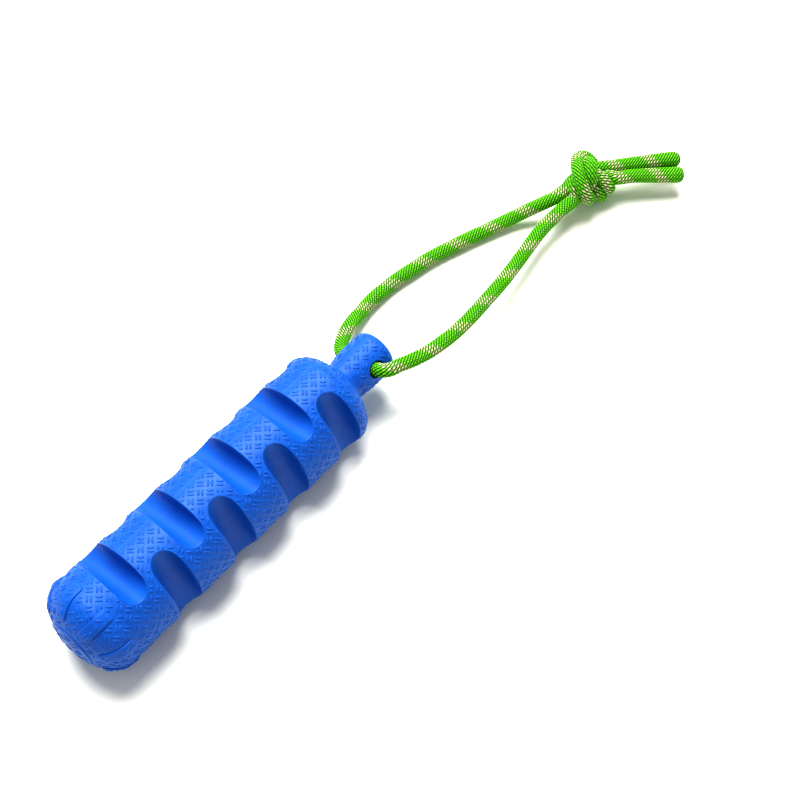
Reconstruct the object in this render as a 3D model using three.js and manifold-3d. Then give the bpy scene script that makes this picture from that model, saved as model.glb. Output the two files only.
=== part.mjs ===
import * as THREE from 'three';
import { mergeVertices } from 'three/addons/utils/BufferGeometryUtils.js';
import Module from 'manifold-3d';

// A throwing bumper of foam rubber: one moulded body with rows of scoops round it,
// and a throw rope that runs through a cross bore in the neck and ends in a knot.
// Millimetres, +Z up. The axis of the body lies along X, with the nose at -X.

// Body outline
const body_diameter = 57;
const body_length = 206.5;
const neck_length = 31;
const nose_depth = 18.6;
const shoulder_depth = 14.5;
const neck_waist_diameter = 24.8;
const neck_diameter = 27;
const neck_root_fillet = 3;
const neck_swell_inset = 17.5;
const neck_end_round = 5;
const shoulder_squareness_share = 2.2;

// Scoops, in four rows a quarter turn apart, each second row half a pitch further on
const scoop_count = 4;
const scoop_land = 4.5;
const scoop_depth = 13.3;
const first_scoop_station = 39.2;
const last_scoop_inset = 23.8;
const row_count = 4;

// How the body has rolled to a stop: turns about its axis, from straight up towards -Y
const scoop_row_roll = -18.2;
const bore_roll = 59;
const rest_flat_depth = 0.25;

// Nose relief
const tip_hole_diameter = 4.3;
const tip_hole_depth = 9;
const tip_flat_diameter = 8;
const tip_ring_radius = 14;
const tip_ring_width = 1.6;
const nose_relief = 0.6;
const pad_count = 8;
const pad_roll = 25;
const pad_width = 7;
const pad_inner_radius = 21;
const pad_reach = 23;

// Rope and bore
const rope_diameter = 8.4;
const bore_inset = 13.9;
const bore_clearance = 0.6;
const face_gap = 0.3;
const knot_rope_diameter = 6.2;
const knot_gap = 0.55;
const knot_half_span = 20;
const squeeze_length = 8;
const end_seal_thickness = 1.2;
const end_seal_diameter = 8;

// Where the knot lies: along X from the bore, and along Y from the middle of the body
const knot_centre = [193.05, -10.9];
const knot_heading = -20;
const entry_heading = -8;
const exit_heading = -38;
const knot_turn = 310;
const entry_side_pull = -5;
const entry_down_pull = -1.5;
const exit_side_pull = -5;
const exit_down_pull = 0;

// Smoothness
const body_facets = 64;
const end_rings = 9;
const fillet_rings = 3;
const swell_rings = 4;
const rounding_rings = 5;
const scoop_facets = 12;
const pad_facets = 6;
const bore_facets = 20;
const rope_sides = 10;
const loop_steps = 66;
const strand_sides = 8;
const strand_steps = 58;
const tail_steps = 8;
const cut_overrun = 2;

// The two legs of the loop, from the mouth of the bore to the throat of the knot: X from
// the bore, Y from the middle of the body and Z from the surface that it lies on
const near_leg_route = [
  [0.35, -14.5, 37.0], [3.55, -17.6, 37.6], [9.85, -19.4, 36.6], [15.55, -21.1, 35.0],
  [31.35, -24.1, 31.0], [54.95, -24.8, 26.0], [79.45, -22.4, 21.5], [104.55, -19.2, 17.5],
  [129.25, -14.8, 14.8], [148.15, -12.0, 13.4],
];
const far_leg_route = [
  [0.25, 15.0, 19.2], [2.15, 19.2, 18.3], [5.95, 22.3, 18.6], [15.45, 26.2, 18.0],
  [22.35, 28.0, 16.5], [30.35, 29.3, 15.0], [44.45, 31.2, 12.2], [61.15, 30.9, 9.7],
  [86.55, 27.5, 7.4], [109.65, 21.0, 6.8], [133.95, 11.9, 7.8], [151.15, 5.0, 10.0],
];

// Where the cut ends of the two tails lie, measured in the same way
const tail_tip_a = [237.45, -50.2, 10.0];
const tail_tip_b = [245.55, -41.2, 10.0];

// The loose overhand that is drawn tight, in shares of the strand pitch
const loose_knot_shares = [
  [-9, 0, 0], [-6.3, 0, 0], [-3.8, 0, -1], [0, -0.2, 1], [3.1, 0.9, 0], [4.2, 2.9, -1],
  [2.4, 5.5, 0], [-1.4, 5.8, 0.2], [-3.8, 3.6, 0.7], [-4.1, 0, 1.1], [-2.7, -2.7, 0],
  [-0.5, -2.9, -0.7], [0.4, -0.2, -1], [1.6, 2.2, 0], [4.2, 2.9, 1], [6.3, 1.4, 0.3], [9, 0, 0],
];

// How the knot is drawn tight: the number of rounds, and how hard each stage pulls
const knot_points = 90;
const held_points = 4;
const held_step = 1.6;
const draw_rounds = 3600;
const ease_rounds = 500;
const rest_rounds = 300;
const draw_share = 0.45;
const ease_share = 0.1;
const rest_share = 0.01;
const stiffness_share = 0.05;
const push_share = 0.3;

const wasm = await Module();
wasm.setup();

const body_radius = body_diameter / 2;
const overall_length = body_length + neck_length;
const half_length = overall_length / 2;
const bore_station = overall_length - bore_inset;
const bore_forward = bore_station - half_length;
const scoop_pitch = (body_length - last_scoop_inset - first_scoop_station) / (scoop_count - 0.5);
const scoop_width = scoop_pitch / 2 - scoop_land;
const strand_pitch = knot_rope_diameter + knot_gap;
const throat_pitch = rope_diameter + knot_gap;
const axis_height = body_radius - rest_flat_depth;
const rope_radius = rope_diameter / 2;
const quarter_turn = Math.PI / 2;

const blue_rubber = new THREE.MeshStandardMaterial({ color: 0x2f63e6, roughness: 0.72, metalness: 0 });
const green_rope = new THREE.MeshStandardMaterial({ color: 0x46c81e, roughness: 0.85, metalness: 0 });
const melted_end = new THREE.MeshStandardMaterial({ color: 0x6b7a1c, roughness: 0.5, metalness: 0 });

// A point of the rope, from its place along X from the bore
function beyond_bore([forward, side, height]) {
  return new THREE.Vector3(bore_forward + forward, side, height);
}

function radians(degrees) {
  return degrees * Math.PI / 180;
}

// A closed geometry as a solid that can be cut and joined
function solid_of(geometry) {
  const plain = geometry.clone();
  for (const name of Object.keys(plain.attributes)) {
    if (name !== 'position') plain.deleteAttribute(name);
  }
  const merged = mergeVertices(plain);
  return new wasm.Manifold(new wasm.Mesh({
    numProp: 3,
    vertProperties: new Float32Array(merged.attributes.position.array),
    triVerts: new Uint32Array(merged.index.array),
  }));
}

function geometry_of(solid) {
  const mesh = solid.getMesh();
  const geometry = new THREE.BufferGeometry();
  geometry.setAttribute('position', new THREE.BufferAttribute(new Float32Array(mesh.vertProperties), 3));
  geometry.setIndex(new THREE.BufferAttribute(new Uint32Array(mesh.triVerts), 1));
  geometry.computeVertexNormals();
  return geometry;
}

// A profile of [station, radius] points turned round the X axis
function revolved(profile) {
  const points = profile.map(([station, radius]) => new THREE.Vector2(radius, station));
  const geometry = new THREE.LatheGeometry(points, body_facets);
  geometry.rotateZ(-quarter_turn);
  return geometry;
}

// The radial direction at a turn about the body's axis
function radial(degrees) {
  return new THREE.Vector3(0, -Math.sin(radians(degrees)), Math.cos(radians(degrees)));
}

function nose_station(radius, relief) {
  const share = Math.min(1, radius / body_radius);
  return nose_depth * (1 - Math.sqrt(1 - share * share)) - relief;
}

// The nose from the tip outward, with the ring round the tip hole standing proud
function nose_profile(relief) {
  const points = [[-relief, 0], [-relief, tip_flat_diameter / 2]];
  for (let i = 1; i <= end_rings; i += 1) {
    const angle = quarter_turn * i / end_rings;
    const radius = body_radius * Math.sin(angle);
    points.push([nose_station(radius, relief), radius + relief * i / end_rings]);
  }
  return points;
}

function ringed_nose_profile() {
  const inner = tip_ring_radius - tip_ring_width / 2;
  const outer = tip_ring_radius + tip_ring_width / 2;
  const bevel = tip_ring_width / 4;
  const ring = [
    [nose_station(inner, 0), inner],
    [nose_station(inner + bevel, nose_relief), inner + bevel],
    [nose_station(outer - bevel, nose_relief), outer - bevel],
    [nose_station(outer, 0), outer],
  ];
  const plain = nose_profile(0);
  const within = plain.filter(([, radius]) => radius < inner - bevel);
  const beyond = plain.filter(([, radius]) => radius > outer + bevel);
  return [...within, ...ring, ...beyond];
}

function shoulder_profile() {
  const points = [];
  const start = body_length - shoulder_depth;
  const power = 2 / shoulder_squareness_share;
  const root = neck_waist_diameter / 2 + neck_root_fillet;
  for (let i = 0; i <= end_rings; i += 1) {
    const angle = quarter_turn * i / end_rings;
    const radius = body_radius * Math.cos(angle) ** power;
    if (radius > root) points.push([start + shoulder_depth * Math.sin(angle) ** power, radius]);
  }
  return points;
}

// The neck: a fillet at its root, a waist, a swell round the bore and a rounded end
function neck_profile() {
  const waist = neck_waist_diameter / 2;
  const swell = neck_diameter / 2;
  const root = waist + neck_root_fillet;
  const cosine = (root / body_radius) ** (shoulder_squareness_share / 2);
  const sine = Math.sqrt(1 - cosine * cosine);
  const corner = body_length - shoulder_depth * (1 - sine ** (2 / shoulder_squareness_share));
  const points = [];
  for (let i = 0; i <= fillet_rings; i += 1) {
    const angle = quarter_turn * i / fillet_rings;
    points.push([
      corner + neck_root_fillet * (1 - Math.cos(angle)),
      root - neck_root_fillet * Math.sin(angle),
    ]);
  }
  const waist_station = corner + neck_root_fillet;
  for (let i = 1; i <= swell_rings; i += 1) {
    const share = i / swell_rings;
    points.push([
      waist_station + (overall_length - neck_swell_inset - waist_station) * share,
      waist + (swell - waist) * share * share * (3 - 2 * share),
    ]);
  }
  for (let i = 0; i <= rounding_rings; i += 1) {
    const angle = quarter_turn * i / rounding_rings;
    points.push([
      overall_length - neck_end_round * (1 - Math.sin(angle)),
      swell - neck_end_round * (1 - Math.cos(angle)),
    ]);
  }
  points.push([overall_length, 0]);
  return points;
}

// A rounded channel, straight across the body, that cuts one scoop
function scoop_cutter(station, roll) {
  const half_width = scoop_width / 2;
  const floor = body_radius - scoop_depth;
  const bend = floor + half_width;
  const top = body_radius + cut_overrun;
  const section = new THREE.Shape();
  section.moveTo(-half_width, top);
  section.lineTo(-half_width, bend);
  section.absarc(0, bend, half_width, Math.PI, 2 * Math.PI, false);
  section.lineTo(half_width, top);
  section.closePath();
  const length = body_diameter + 2 * cut_overrun;
  const channel = new THREE.ExtrudeGeometry(section, {
    depth: length, bevelEnabled: false, curveSegments: scoop_facets,
  });
  channel.translate(0, 0, -length / 2);
  channel.rotateX(quarter_turn + radians(roll));
  channel.translate(station, 0, 0);
  return channel;
}

// A round bar with its middle at a point and its length along a direction
function round_bar(radius, length, sides, middle, direction) {
  const bar = new THREE.CylinderGeometry(radius, radius, length, sides);
  const turn = new THREE.Quaternion().setFromUnitVectors(new THREE.Vector3(0, 1, 0), direction);
  bar.applyQuaternion(turn);
  bar.translate(middle.x, middle.y, middle.z);
  return bar;
}

// A straight bar whose plan is a strip with one rounded end
function round_ended_bar(start, end, half_width, depth) {
  const plan = new THREE.Shape();
  plan.moveTo(start, half_width);
  plan.lineTo(start, -half_width);
  plan.absarc(end, 0, half_width, -quarter_turn, quarter_turn, false);
  plan.closePath();
  return new THREE.ExtrudeGeometry(plan, { depth, bevelEnabled: false, curveSegments: pad_facets });
}

// One raised pad of the nose: rounded at its inner end seen along the body's axis, and
// at its outer end seen from the side
function nose_pad(roll) {
  const half_width = pad_width / 2;
  const beyond = body_radius + cut_overrun;
  const depth = pad_reach + cut_overrun;
  const inner = round_ended_bar(-beyond, -pad_inner_radius - half_width, half_width, depth);
  inner.translate(0, 0, -cut_overrun);
  inner.rotateY(quarter_turn);
  const outer = round_ended_bar(-cut_overrun, pad_reach - half_width, half_width, beyond);
  const pad = solid_of(inner).intersect(solid_of(outer));
  return pad.rotate([roll, 0, 0]);
}

function bumper_body_solid() {
  const outline = [...ringed_nose_profile(), ...shoulder_profile(), ...neck_profile()];
  let solid = solid_of(revolved(outline));
  const raised = [...nose_profile(nose_relief)];
  raised.push([pad_reach + nose_depth, body_radius + nose_relief]);
  raised.push([pad_reach + nose_depth, 0]);
  const relief = solid_of(revolved(raised));
  for (let i = 0; i < pad_count; i += 1) {
    solid = solid.add(relief.intersect(nose_pad(pad_roll + 360 * i / pad_count)));
  }
  for (let row = 0; row < row_count; row += 1) {
    const roll = scoop_row_roll + 360 * row / row_count;
    const shift = row % 2 === 0 ? 0 : scoop_pitch / 2;
    for (let i = 0; i < scoop_count; i += 1) {
      const station = first_scoop_station + shift + scoop_pitch * i;
      solid = solid.subtract(solid_of(scoop_cutter(station, roll)));
    }
  }
  const bore = round_bar(
    rope_radius + bore_clearance, neck_diameter + 2 * cut_overrun, bore_facets,
    new THREE.Vector3(bore_station, 0, 0), radial(bore_roll),
  );
  solid = solid.subtract(solid_of(bore));
  const tip_hole = round_bar(
    tip_hole_diameter / 2, tip_hole_depth + cut_overrun, scoop_facets,
    new THREE.Vector3((tip_hole_depth - cut_overrun) / 2, 0, 0), new THREE.Vector3(1, 0, 0),
  );
  solid = solid.subtract(solid_of(tip_hole));
  const below = new THREE.BoxGeometry(overall_length, body_diameter, body_radius);
  below.translate(half_length, 0, rest_flat_depth - body_radius - body_radius / 2);
  return solid.subtract(solid_of(below));
}

// Unit vectors of the knot: along its heading, level to its side, and up
const heading = radians(knot_heading);
const along = new THREE.Vector3(Math.cos(heading), Math.sin(heading), 0);
const level = new THREE.Vector3(-Math.sin(heading), Math.cos(heading), 0);
const turned = radians(knot_turn);

// The level and upright directions as the knot sees them before it is turned
const own_level = new THREE.Vector3(0, Math.cos(turned), -Math.sin(turned));
const own_up = new THREE.Vector3(0, Math.sin(turned), Math.cos(turned));

// Points at even distances along a smooth curve through a list of points
function evenly(points, count) {
  return new THREE.CatmullRomCurve3(points, false, 'centripetal').getSpacedPoints(count - 1);
}

function loose_strands() {
  const middle = evenly(
    loose_knot_shares.map((p) => new THREE.Vector3(...p).multiplyScalar(strand_pitch)),
    knot_points,
  );
  return [1, -1].map((side) => evenly(middle.map((p, i) => {
    const before = middle[Math.max(i - 1, 0)];
    const after = middle[Math.min(i + 1, knot_points - 1)];
    const across = new THREE.Vector3(before.y - after.y, after.x - before.x, 0).normalize();
    return p.clone().addScaledVector(across, side * strand_pitch * 0.55);
  }), knot_points));
}

function length_of(points) {
  return points.reduce((sum, p, i) => (i ? sum + p.distanceTo(points[i - 1]) : 0), 0);
}

// Each pair of points that might press on each other: two strands, or one strand with itself
function for_each_pair(strands, visit) {
  for (const [a, b] of [[0, 0], [0, 1], [1, 1]]) {
    const step = length_of(strands[a]) / (knot_points - 1);
    const skip = a === b ? Math.ceil(2.2 * strand_pitch / step) : 0;
    for (let i = 0; i < knot_points; i += 1) {
      for (let j = a === b ? i + skip : 0; j < knot_points; j += 1) {
        visit(strands[a][i], strands[b][j], [a, i], [b, j]);
      }
    }
  }
}

// One round of drawing tight: each point is drawn towards its neighbours, which shortens
// the rope, kept from kinking, and pushed off any point that it would press into.
// While the knot is drawn, it is kept from drifting as a whole.
function draw_once(strands, pull, centred) {
  const radii = strands.map((points) => {
    const length = length_of(points);
    return points.map((p, i) => knot_radius_at(i / (knot_points - 1), length));
  });
  const moves = strands.map((points) => points.map(() => new THREE.Vector3()));
  const aim = new THREE.Vector3();
  strands.forEach((points, s) => {
    for (let i = 1; i < knot_points - 1; i += 1) {
      aim.addVectors(points[i - 1], points[i + 1]).multiplyScalar(0.5).sub(points[i]);
      moves[s][i].addScaledVector(aim, pull);
      if (i > 1 && i < knot_points - 2) {
        aim.addVectors(points[i - 1], points[i + 1]).multiplyScalar(4);
        aim.sub(points[i - 2]).sub(points[i + 2]).divideScalar(6).sub(points[i]);
        moves[s][i].addScaledVector(aim, stiffness_share);
      }
    }
  });
  for_each_pair(strands, (p, q, [a, i], [b, j]) => {
    const dx = p.x - q.x;
    const dy = p.y - q.y;
    const dz = p.z - q.z;
    const apart = Math.sqrt(dx * dx + dy * dy + dz * dz);
    const pitch = radii[a][i] + radii[b][j] + knot_gap;
    if (apart >= pitch || apart === 0) return;
    const push = push_share * (pitch - apart) / apart;
    aim.set(dx * push, dy * push, dz * push);
    moves[a][i].add(aim);
    moves[b][j].sub(aim);
  });
  const drift = new THREE.Vector3();
  strands.forEach((points, s) => {
    for (let i = held_points; i < knot_points - held_points; i += 1) {
      points[i].add(moves[s][i]);
      drift.add(points[i]);
    }
  });
  if (!centred) return;
  drift.divideScalar(2 * (knot_points - 2 * held_points));
  for (const points of strands) {
    for (let i = held_points; i < knot_points - held_points; i += 1) points[i].sub(drift);
  }
}

// One pair of held ends: straight, level with each other and at their own heading
function hold_pair(strands, side_pull, down_pull, turn_in, reach, index_of) {
  const forward = new THREE.Vector3(Math.cos(turn_in), 0, 0).addScaledVector(own_level, Math.sin(turn_in));
  const sideways = own_level.clone().multiplyScalar(Math.cos(turn_in));
  sideways.x -= Math.sin(turn_in);
  strands.forEach((points, s) => {
    const side = (s === 0 ? 1 : -1) * throat_pitch / 2;
    for (let i = 0; i < held_points; i += 1) {
      const point = points[index_of(i)].set(reach, 0, 0);
      point.addScaledVector(own_level, side_pull).addScaledVector(own_up, down_pull);
      point.addScaledVector(sideways, side);
      point.addScaledVector(forward, -Math.sign(reach) * i * held_step);
    }
  });
}

// The ends are held to one side of the knot and a little below it, and slide in to the
// throat while the knot is drawn tight
function hold_ends(strands, share) {
  const wide = -loose_knot_shares[0][0] * strand_pitch;
  const reach = wide + (knot_half_span - wide) * share;
  const entry_turn = radians(entry_heading - knot_heading) * share;
  const exit_turn = radians(exit_heading - knot_heading) * share;
  hold_pair(strands, entry_side_pull * share, entry_down_pull * share, entry_turn, -reach, (i) => i);
  hold_pair(
    strands, exit_side_pull * share, exit_down_pull * share, exit_turn, reach,
    (i) => knot_points - 1 - i,
  );
}

function tied_strands() {
  const strands = loose_strands();
  const rounds = draw_rounds + ease_rounds + rest_rounds;
  for (let round = 0; round < rounds; round += 1) {
    let pull = draw_share;
    if (round >= draw_rounds) pull = ease_share;
    if (round >= draw_rounds + ease_rounds) pull = rest_share;
    hold_ends(strands, Math.min(1, 1.5 * round / draw_rounds));
    draw_once(strands, pull, round < draw_rounds + ease_rounds);
  }
  return strands;
}

// The rope's radius in the knot: full at the throat, squeezed further in
function squeezed_radius(distance_from_end) {
  const share = Math.min(1, distance_from_end / squeeze_length);
  return rope_radius + (knot_rope_diameter / 2 - rope_radius) * share * share * (3 - 2 * share);
}

function knot_radius_at(share, length) {
  return squeezed_radius(length * Math.min(share, 1 - share));
}

function place_knot(strands) {
  let lowest = Infinity;
  const placed = strands.map((points) => {
    const length = length_of(points);
    return points.map((p, i) => {
      const side = p.y * Math.cos(turned) - p.z * Math.sin(turned);
      const height = p.y * Math.sin(turned) + p.z * Math.cos(turned);
      lowest = Math.min(lowest, height - knot_radius_at(i / (knot_points - 1), length));
      return beyond_bore([...knot_centre, height])
        .addScaledVector(along, p.x).addScaledVector(level, side);
    });
  });
  for (const p of placed.flat()) p.z -= lowest;
  return placed;
}

// A tube whose radius changes along a curve
function tapered_tube(points, radius_at) {
  const curve = new THREE.CatmullRomCurve3(points, false, 'centripetal');
  const length = curve.getLength();
  const frames = curve.computeFrenetFrames(strand_steps, false);
  const positions = [];
  const faces = [];
  for (let i = 0; i <= strand_steps; i += 1) {
    const share = i / strand_steps;
    const middle = curve.getPointAt(share);
    for (let j = 0; j < strand_sides; j += 1) {
      const angle = 2 * Math.PI * j / strand_sides;
      const p = middle.clone();
      p.addScaledVector(frames.normals[i], radius_at(share, length) * Math.cos(angle));
      p.addScaledVector(frames.binormals[i], radius_at(share, length) * Math.sin(angle));
      positions.push(p.x, p.y, p.z);
    }
  }
  for (let i = 0; i < strand_steps; i += 1) {
    for (let j = 0; j < strand_sides; j += 1) {
      const here = i * strand_sides + j;
      const next = i * strand_sides + (j + 1) % strand_sides;
      faces.push(here, next, here + strand_sides);
      faces.push(next, next + strand_sides, here + strand_sides);
    }
  }
  const last = strand_steps * strand_sides;
  for (let j = 1; j < strand_sides - 1; j += 1) {
    faces.push(0, j + 1, j);
    faces.push(last, last + j, last + j + 1);
  }
  const geometry = new THREE.BufferGeometry();
  geometry.setAttribute('position', new THREE.Float32BufferAttribute(positions, 3));
  geometry.setIndex(faces);
  geometry.computeVertexNormals();
  return geometry;
}

// A length of rope along a smooth curve through a list of points
function rope_tube(points, steps) {
  const section = new THREE.Shape();
  section.absarc(0, 0, rope_radius, 0, 2 * Math.PI, false);
  return new THREE.ExtrudeGeometry(section, {
    steps,
    bevelEnabled: false,
    curveSegments: rope_sides / 2,
    extrudePath: new THREE.CatmullRomCurve3(points, false, 'centripetal'),
  });
}

// The least gap between the knot's turns, on points, for the printed check
function least_gap(strands) {
  const lengths = strands.map(length_of);
  let least = Infinity;
  for_each_pair(strands, (p, q, [a, i], [b, j]) => {
    const own = knot_radius_at(i / (knot_points - 1), lengths[a]);
    const other = knot_radius_at(j / (knot_points - 1), lengths[b]);
    least = Math.min(least, p.distanceTo(q) - own - other);
  });
  return least;
}

const knot_strands = place_knot(tied_strands());
console.log('least gap in the knot, mm:', least_gap(knot_strands).toFixed(2));

// Two points straight out from one end of a strand: one a face gap away, one further on
function straight_from(strand, at_start) {
  const end = strand[at_start ? 0 : knot_points - 1];
  const inner = strand[at_start ? 1 : knot_points - 2];
  const outward = end.clone().sub(inner).normalize();
  return {
    outward,
    face: end.clone().addScaledVector(outward, face_gap),
    further: end.clone().addScaledVector(outward, face_gap + rope_radius),
  };
}

// The loop runs from the knot along the near leg, through the bore and back along the far leg
function loop_points() {
  const bore_middle = beyond_bore([0, 0, axis_height]);
  const bore_direction = radial(bore_roll);
  const through = [1, 0.5, 0, -0.5, -1].map(
    (share) => bore_middle.clone().addScaledVector(bore_direction, share * (neck_diameter / 2 + face_gap)),
  );
  const near = straight_from(knot_strands[1], true);
  const far = straight_from(knot_strands[0], true);
  return [
    near.face, near.further,
    ...near_leg_route.map(beyond_bore).reverse(),
    ...through,
    ...far_leg_route.map(beyond_bore),
    far.further, far.face,
  ];
}

// Each tail goes on from the knot to its tip, and its cut end is melted into a thin disc
function tail_pieces(strand, tip) {
  const { face, further } = straight_from(strand, false);
  const end = beyond_bore(tip);
  const away = end.clone().sub(further).normalize();
  const tail = [face, further, end.clone().addScaledVector(away, -rope_radius), end];
  const seal_middle = end.clone().addScaledVector(away, face_gap + end_seal_thickness / 2);
  const seal = round_bar(end_seal_diameter / 2, end_seal_thickness, rope_sides, seal_middle, away);
  return { tail: rope_tube(tail, tail_steps), seal };
}

const bumper = new THREE.Group();

function add_mesh(name, geometry, material) {
  const mesh = new THREE.Mesh(geometry, material);
  mesh.name = name;
  bumper.add(mesh);
  return mesh;
}

const body = add_mesh('bumper_body', geometry_of(bumper_body_solid()), blue_rubber);
body.position.set(-half_length, 0, axis_height);
add_mesh('rope_loop', rope_tube(loop_points(), loop_steps), green_rope);
for (const [letter, strand, tip] of [
  ['a', knot_strands[1], tail_tip_a],
  ['b', knot_strands[0], tail_tip_b],
]) {
  const { tail, seal } = tail_pieces(strand, tip);
  add_mesh(`knot_strand_${letter}`, tapered_tube(strand, knot_radius_at), green_rope);
  add_mesh(`rope_tail_${letter}`, tail, green_rope);
  add_mesh(`end_seal_${letter}`, seal, melted_end);
}

export default bumper;
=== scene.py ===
"""A throwing bumper: one moulded foam rubber body with rows of scoops, and a braided throw rope.

Sizes are in millimetres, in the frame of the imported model: +X from the nose to the neck,
+Z up, and the surface that the bumper lies on at Z = 0.
"""
import math

import bmesh
import bpy
import numpy as np
from mathutils import Matrix, Vector


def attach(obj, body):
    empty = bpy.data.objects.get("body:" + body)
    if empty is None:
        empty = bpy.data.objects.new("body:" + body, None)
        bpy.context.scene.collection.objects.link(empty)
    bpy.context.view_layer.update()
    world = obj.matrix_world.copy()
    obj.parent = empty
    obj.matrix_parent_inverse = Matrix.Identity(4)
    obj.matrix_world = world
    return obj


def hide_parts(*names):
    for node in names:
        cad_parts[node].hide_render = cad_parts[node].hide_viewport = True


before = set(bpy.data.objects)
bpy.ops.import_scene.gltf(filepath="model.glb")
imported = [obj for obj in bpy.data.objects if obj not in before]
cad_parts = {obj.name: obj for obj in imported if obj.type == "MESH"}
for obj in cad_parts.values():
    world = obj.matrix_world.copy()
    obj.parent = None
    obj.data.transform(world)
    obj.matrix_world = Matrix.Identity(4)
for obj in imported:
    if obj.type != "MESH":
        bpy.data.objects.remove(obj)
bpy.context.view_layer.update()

MM = 0.001
TINY = 1e-6
SEED = 7

# Body, as in the part's source
BODY_RADIUS = 28.5
OVERALL_LENGTH = 237.5
HALF_LENGTH = OVERALL_LENGTH / 2
BODY_LENGTH = 206.5
NOSE_DEPTH = 18.6
SHOULDER_DEPTH = 14.5
SHOULDER_POWER = 2 / 2.2
NECK_WAIST_RADIUS = 12.4
NECK_RADIUS = 13.5
NECK_ROOT_FILLET = 3.0
NECK_ROOT_RADIUS = NECK_WAIST_RADIUS + NECK_ROOT_FILLET
NECK_SWELL_STATION = 220.0
NECK_END_ROUND = 5.0
AXIS_HEIGHT = 28.25
SCOOP_COUNT = 8
SCOOP_STEP = 20.5
SCOOP_HALF_WIDTH = 8.0
SCOOP_FLOOR = 15.2
SCOOP_BEND = SCOOP_FLOOR + SCOOP_HALF_WIDTH
FIRST_SCOOP_STATION = 39.2
SCOOP_ROW_ROLL = -18.2
SCOOP_STATIONS = [FIRST_SCOOP_STATION + SCOOP_STEP * scoop for scoop in range(SCOOP_COUNT)]
BORE_STATION = 223.6
BORE_ROLL = 59.0
BORE_RADIUS = 4.8
TIP_HOLE_RADIUS = 2.15
TIP_HOLE_DEPTH = 9.0
TIP_FLAT_RADIUS = 4.0
TIP_RING_RADIUS = 14.0
TIP_RING_WIDTH = 1.6
PAD_COUNT = 8
PAD_ROLL = 25.0
PAD_HALF_WIDTH = 3.5

# The nose pads in the scene, crisper and a little longer than in the part
PAD_INNER_RADIUS = 18.8
PAD_REACH = 24.6
PAD_HEIGHT = 0.85
PAD_ROOT = -0.3
PAD_FADE = 4.0

# Rope: its thickness and its legs' routes, from the bore in X, are as in the part's source
ROPE_RADIUS = 4.2
FACE_GAP = 0.3
BORE_PLACE = np.array([BORE_STATION - HALF_LENGTH, 0, AXIS_HEIGHT])
BORE_TURN = math.radians(BORE_ROLL)
BORE_AXIS = np.array([0, -math.sin(BORE_TURN), math.cos(BORE_TURN)])
BORE_SIDES = {"a": 1, "b": -1}
NECK_REACH = NECK_RADIUS + FACE_GAP
NEAR_LEG_ROUTE = [
    (0.35, -14.5, 37.0), (3.55, -17.6, 37.6), (9.85, -19.4, 36.6), (15.55, -21.1, 35.0),
    (31.35, -24.1, 31.0), (54.95, -24.8, 26.0), (79.45, -22.4, 21.5), (104.55, -19.2, 17.5),
    (129.25, -14.8, 14.8), (148.15, -12.0, 13.4),
]
FAR_LEG_ROUTE = [
    (0.25, 15.0, 19.2), (2.15, 19.2, 18.3), (5.95, 22.3, 18.6), (15.45, 26.2, 18.0),
    (22.35, 28.0, 16.5), (30.35, 29.3, 15.0), (44.45, 31.2, 12.2), (61.15, 30.9, 9.7),
    (86.55, 27.5, 7.4), (109.65, 21.0, 6.8), (133.95, 11.9, 7.8), (151.15, 5.0, 10.0),
]
LEG_ROUTES = {"a": NEAR_LEG_ROUTE, "b": FAR_LEG_ROUTE}

# Where the cut ends of the tails lie before their rise, measured like the routes
TAIL_TIPS = {"a": (235.8, -48.6, 10.0), "b": (243.8, -39.6, 10.0)}

# How much higher or lower each half lies than in the part, as its shadow shows: how far
# along the rope, and the rise
RISES = {
    "a": ((150, 0.0), (192, 1.15), (348, 1.15), (384, 4.0)),
    "b": (
        (14, 0.0), (34, -5.0), (55, -8.2), (75, -5.8), (105, -2.6), (135, -1.7), (165, -2.0),
        (195, 1.15), (348, 1.15), (384, 4.0),
    ),
}

# The camera, in the same frame
CAMERA_PLACE = (-206.09, -305.41, 803.48)
CAMERA_RIGHT = (0.66554, -0.74637, 0.0)
CAMERA_UP = (0.65900, 0.58763, 0.46947)
CAMERA_BACK = (-0.35040, -0.31245, 0.88295)
CAMERA_LENS = 71.09
SENSOR_WIDTH = 36.0
CLIP_END = 20.0


def place_camera():
    data = bpy.data.cameras.new("camera")
    data.sensor_fit = "HORIZONTAL"
    data.sensor_width = SENSOR_WIDTH
    data.lens = CAMERA_LENS
    data.clip_end = CLIP_END
    camera = bpy.data.objects.new("camera", data)
    bpy.context.scene.collection.objects.link(camera)
    camera.matrix_world = Matrix([
        [CAMERA_RIGHT[i], CAMERA_UP[i], CAMERA_BACK[i], CAMERA_PLACE[i] * MM] for i in range(3)
    ] + [[0, 0, 0, 1]])
    bpy.context.scene.camera = camera


PIECE_CREASE = 65
BODY_CREASE = 42


def add_mesh(name, points, faces, material, uvs=None):
    """A smooth mesh object from points in millimetres; uvs holds one pair for each face corner."""
    mesh = bpy.data.meshes.new(name)
    mesh.from_pydata((np.asarray(points) * MM).tolist(), [], faces)
    mesh.materials.append(material)
    mesh.polygons.foreach_set("use_smooth", [True] * len(mesh.polygons))
    if uvs is not None:
        layer = mesh.uv_layers.new(name="lay")
        layer.data.foreach_set("uv", np.asarray(uvs, np.float32).ravel())
    mesh.update()
    made = bpy.data.objects.new(name, mesh)
    bpy.context.scene.collection.objects.link(made)
    return made


def tube_faces(rings, columns, first=0, turned=False, closed=False):
    """Quads between rings of points that lie one after another."""
    faces = []
    for i in range(rings if closed else rings - 1):
        near, far = first + i * columns, first + (i + 1) % rings * columns
        for j in range(columns):
            k = (j + 1) % columns
            if turned:
                faces.append((near + j, far + j, far + k, near + k))
            else:
                faces.append((near + j, near + k, far + k, far + j))
    return faces


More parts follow.
